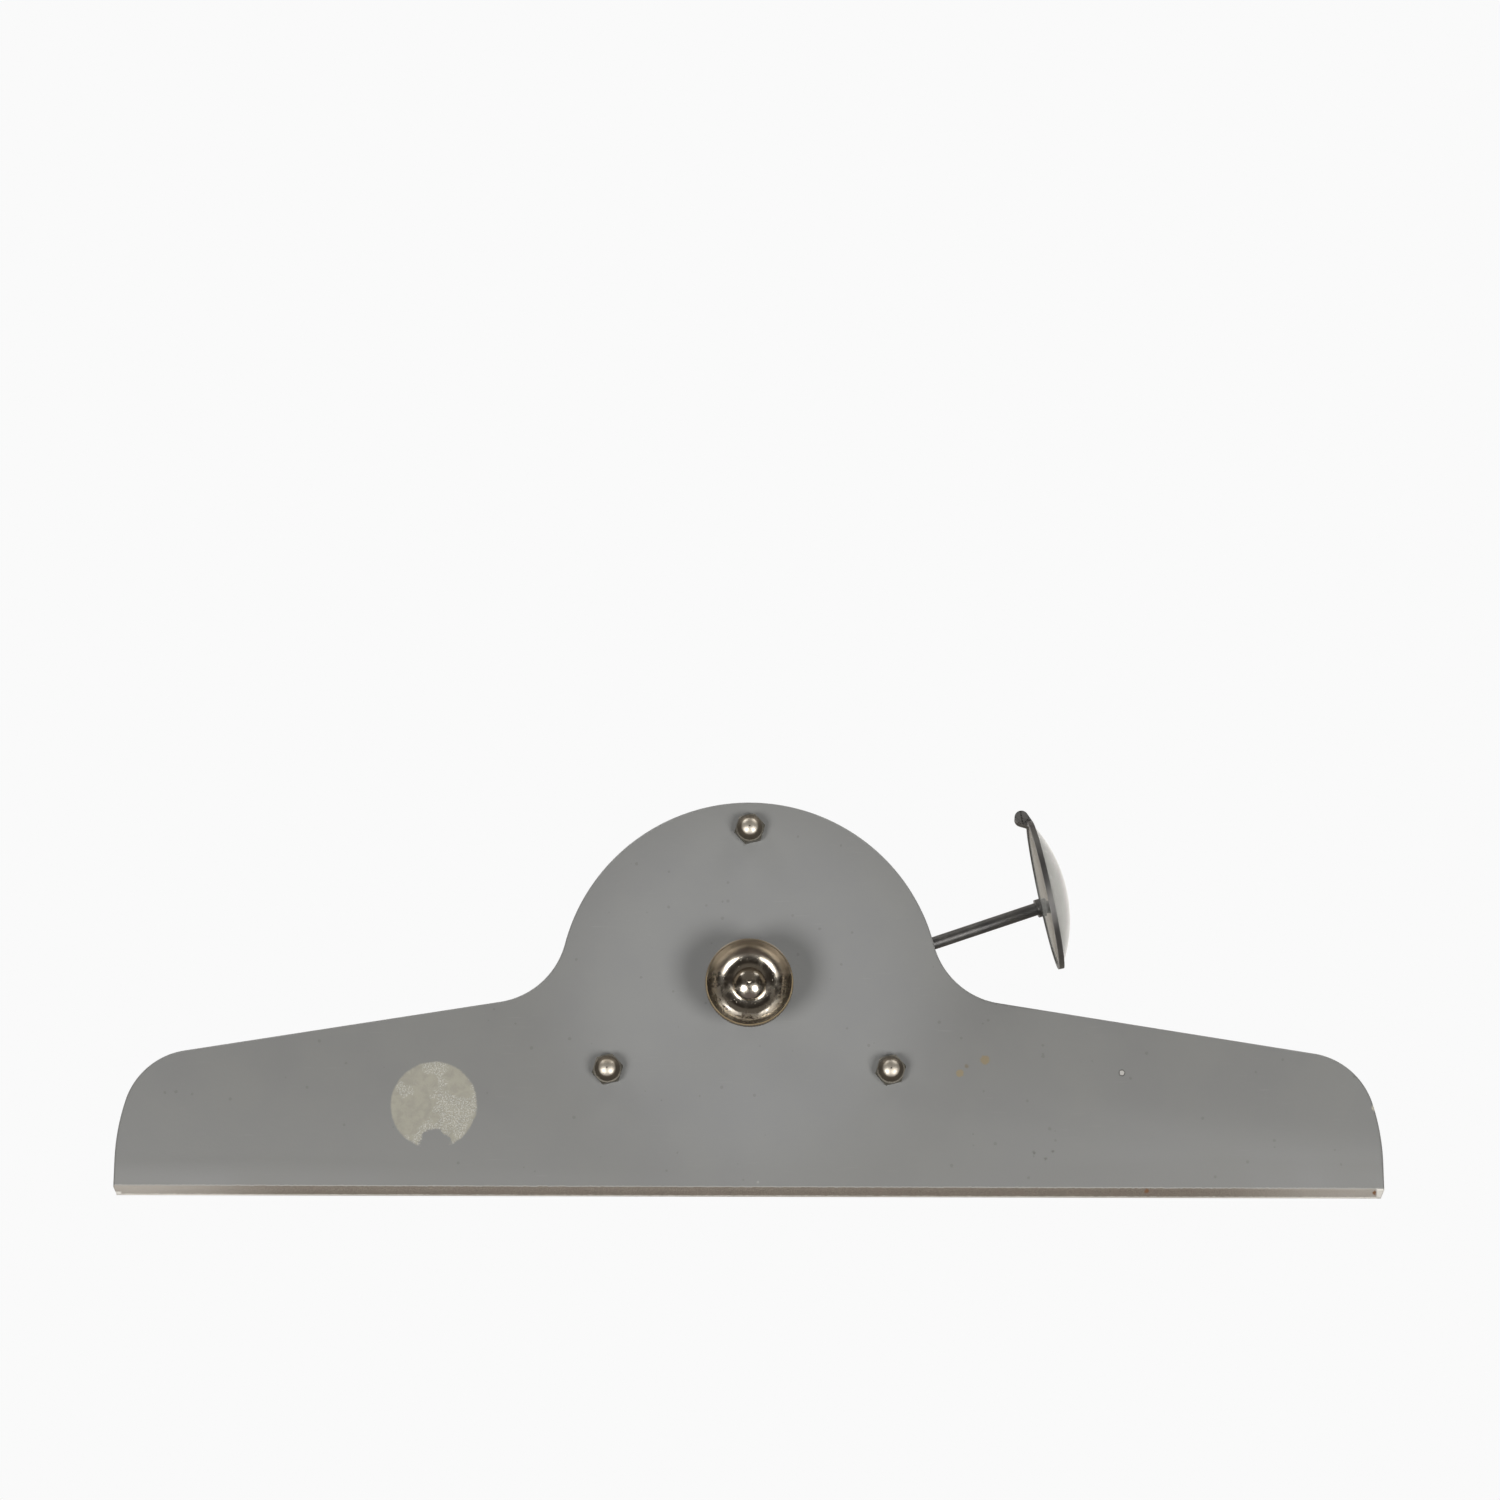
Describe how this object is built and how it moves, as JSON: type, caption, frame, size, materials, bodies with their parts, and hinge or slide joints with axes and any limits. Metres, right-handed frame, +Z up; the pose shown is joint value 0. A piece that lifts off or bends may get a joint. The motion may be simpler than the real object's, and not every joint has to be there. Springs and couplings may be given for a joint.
{
  "type": "clinometer",
  "caption": "Pendulum clinometer: a winged face plate with a round top on a long machined base, an enclosed graduated drum, a milled brake thumbscrew and a lens on a swinging arm.",
  "frame": {"origin": "middle of the base's ground face, which rests on the work", "axes": "+X along the base to the viewer's right when facing the thumbscrew, +Y from the face plate to the back, +Z up, away from the ground face"},
  "size_m": [0.3048, 0.0465, 0.0963],
  "materials": {
    "grey_paint": "grey enamel, eggshell, with a few chips",
    "nickel": "worn nickel plate",
    "steel": "turned and oiled",
    "blackened_steel": "blackened, satin",
    "brass": "turned",
    "drum_alloy": "turned",
    "dial_enamel": "ivory enamel with black and red figures",
    "pointer_black": "black",
    "gasket_rubber": "matt",
    "lining_leather": "matt",
    "red_fibre": "vulcanised fibre",
    "window_clear": "clear",
    "lens_glass": "clear"
  },
  "bodies": {
    "body": {"body_casting": "grey_paint", "spindle": "steel", "spindle_nut": "steel", "front_race_inner": "steel", "race_spacer": "brass", "rear_race_inner": "steel", "race_nut": "steel", "window_ring": "window_clear", "front_gasket": "gasket_rubber", "rear_gasket": "gasket_rubber", "rear_cover": "grey_paint", "brake_spring": "steel", "arm_journal": "steel", "arm_washer": "red_fibre", "arm_keeper": "steel", "arm_keeper_screw": "nickel"},
    "drum": {"drum": "drum_alloy", "main_dial": "dial_enamel", "pendulum_weight": "brass", "weight_screws": "steel", "front_race_outer": "steel", "rear_race_outer": "steel"},
    "ball_trains": {"front_race_balls": "steel", "rear_race_balls": "steel"},
    "brake": {"brake_disc": "brass", "brake_lining": "lining_leather", "brake_cross_pin": "steel", "push_rod": "steel"},
    "thumbscrew": {"thumbscrew": "nickel"},
    "vernier": {"vernier_ring": "dial_enamel", "index_pointer": "pointer_black", "vernier_studs": "steel", "dome_nuts": "nickel"},
    "lens_arm": {"arm_hub": "blackened_steel", "arm_rod": "blackened_steel", "arm_set_screw": "blackened_steel", "lens_ring": "blackened_steel", "ring_clamp_screw": "blackened_steel", "lens": "lens_glass"}
  },
  "joints": [
    {"name": "drum_spin", "type": "hinge", "parent": "body", "child": "drum", "pos_m": [0, 0, 0.05], "axis": [0, 1, 0], "continuous": true},
    {"name": "balls_orbit", "type": "hinge", "parent": "body", "child": "ball_trains", "pos_m": [0, 0, 0.05], "axis": [0, 1, 0], "continuous": true},
    {"name": "brake_slide", "type": "slide", "parent": "body", "child": "brake", "axis": [0, 1, 0], "range_m": [0, 0.0012], "deforming": ["brake_spring"]},
    {"name": "thumbscrew_turn", "type": "hinge", "parent": "brake", "child": "thumbscrew", "pos_m": [0, 0, 0.05], "axis": [0, 1, 0], "range_deg": [0, 540]},
    {"name": "vernier_adjust", "type": "hinge", "parent": "body", "child": "vernier", "pos_m": [0, 0, 0.05], "axis": [0, 1, 0], "range_deg": [-1.5, 1.5]},
    {"name": "lens_arm_swing", "type": "hinge", "parent": "body", "child": "lens_arm", "pos_m": [0, 0, 0.05], "axis": [0, -1, 0], "range_deg": [-6.5, 146]}
  ],
  "couplings": [
    {"joint": "balls_orbit", "follows": "drum_spin", "ratio": 0.6},
    {"joint": "thumbscrew_turn", "follows": "brake_slide", "rad_per_m": 7854}
  ]
}
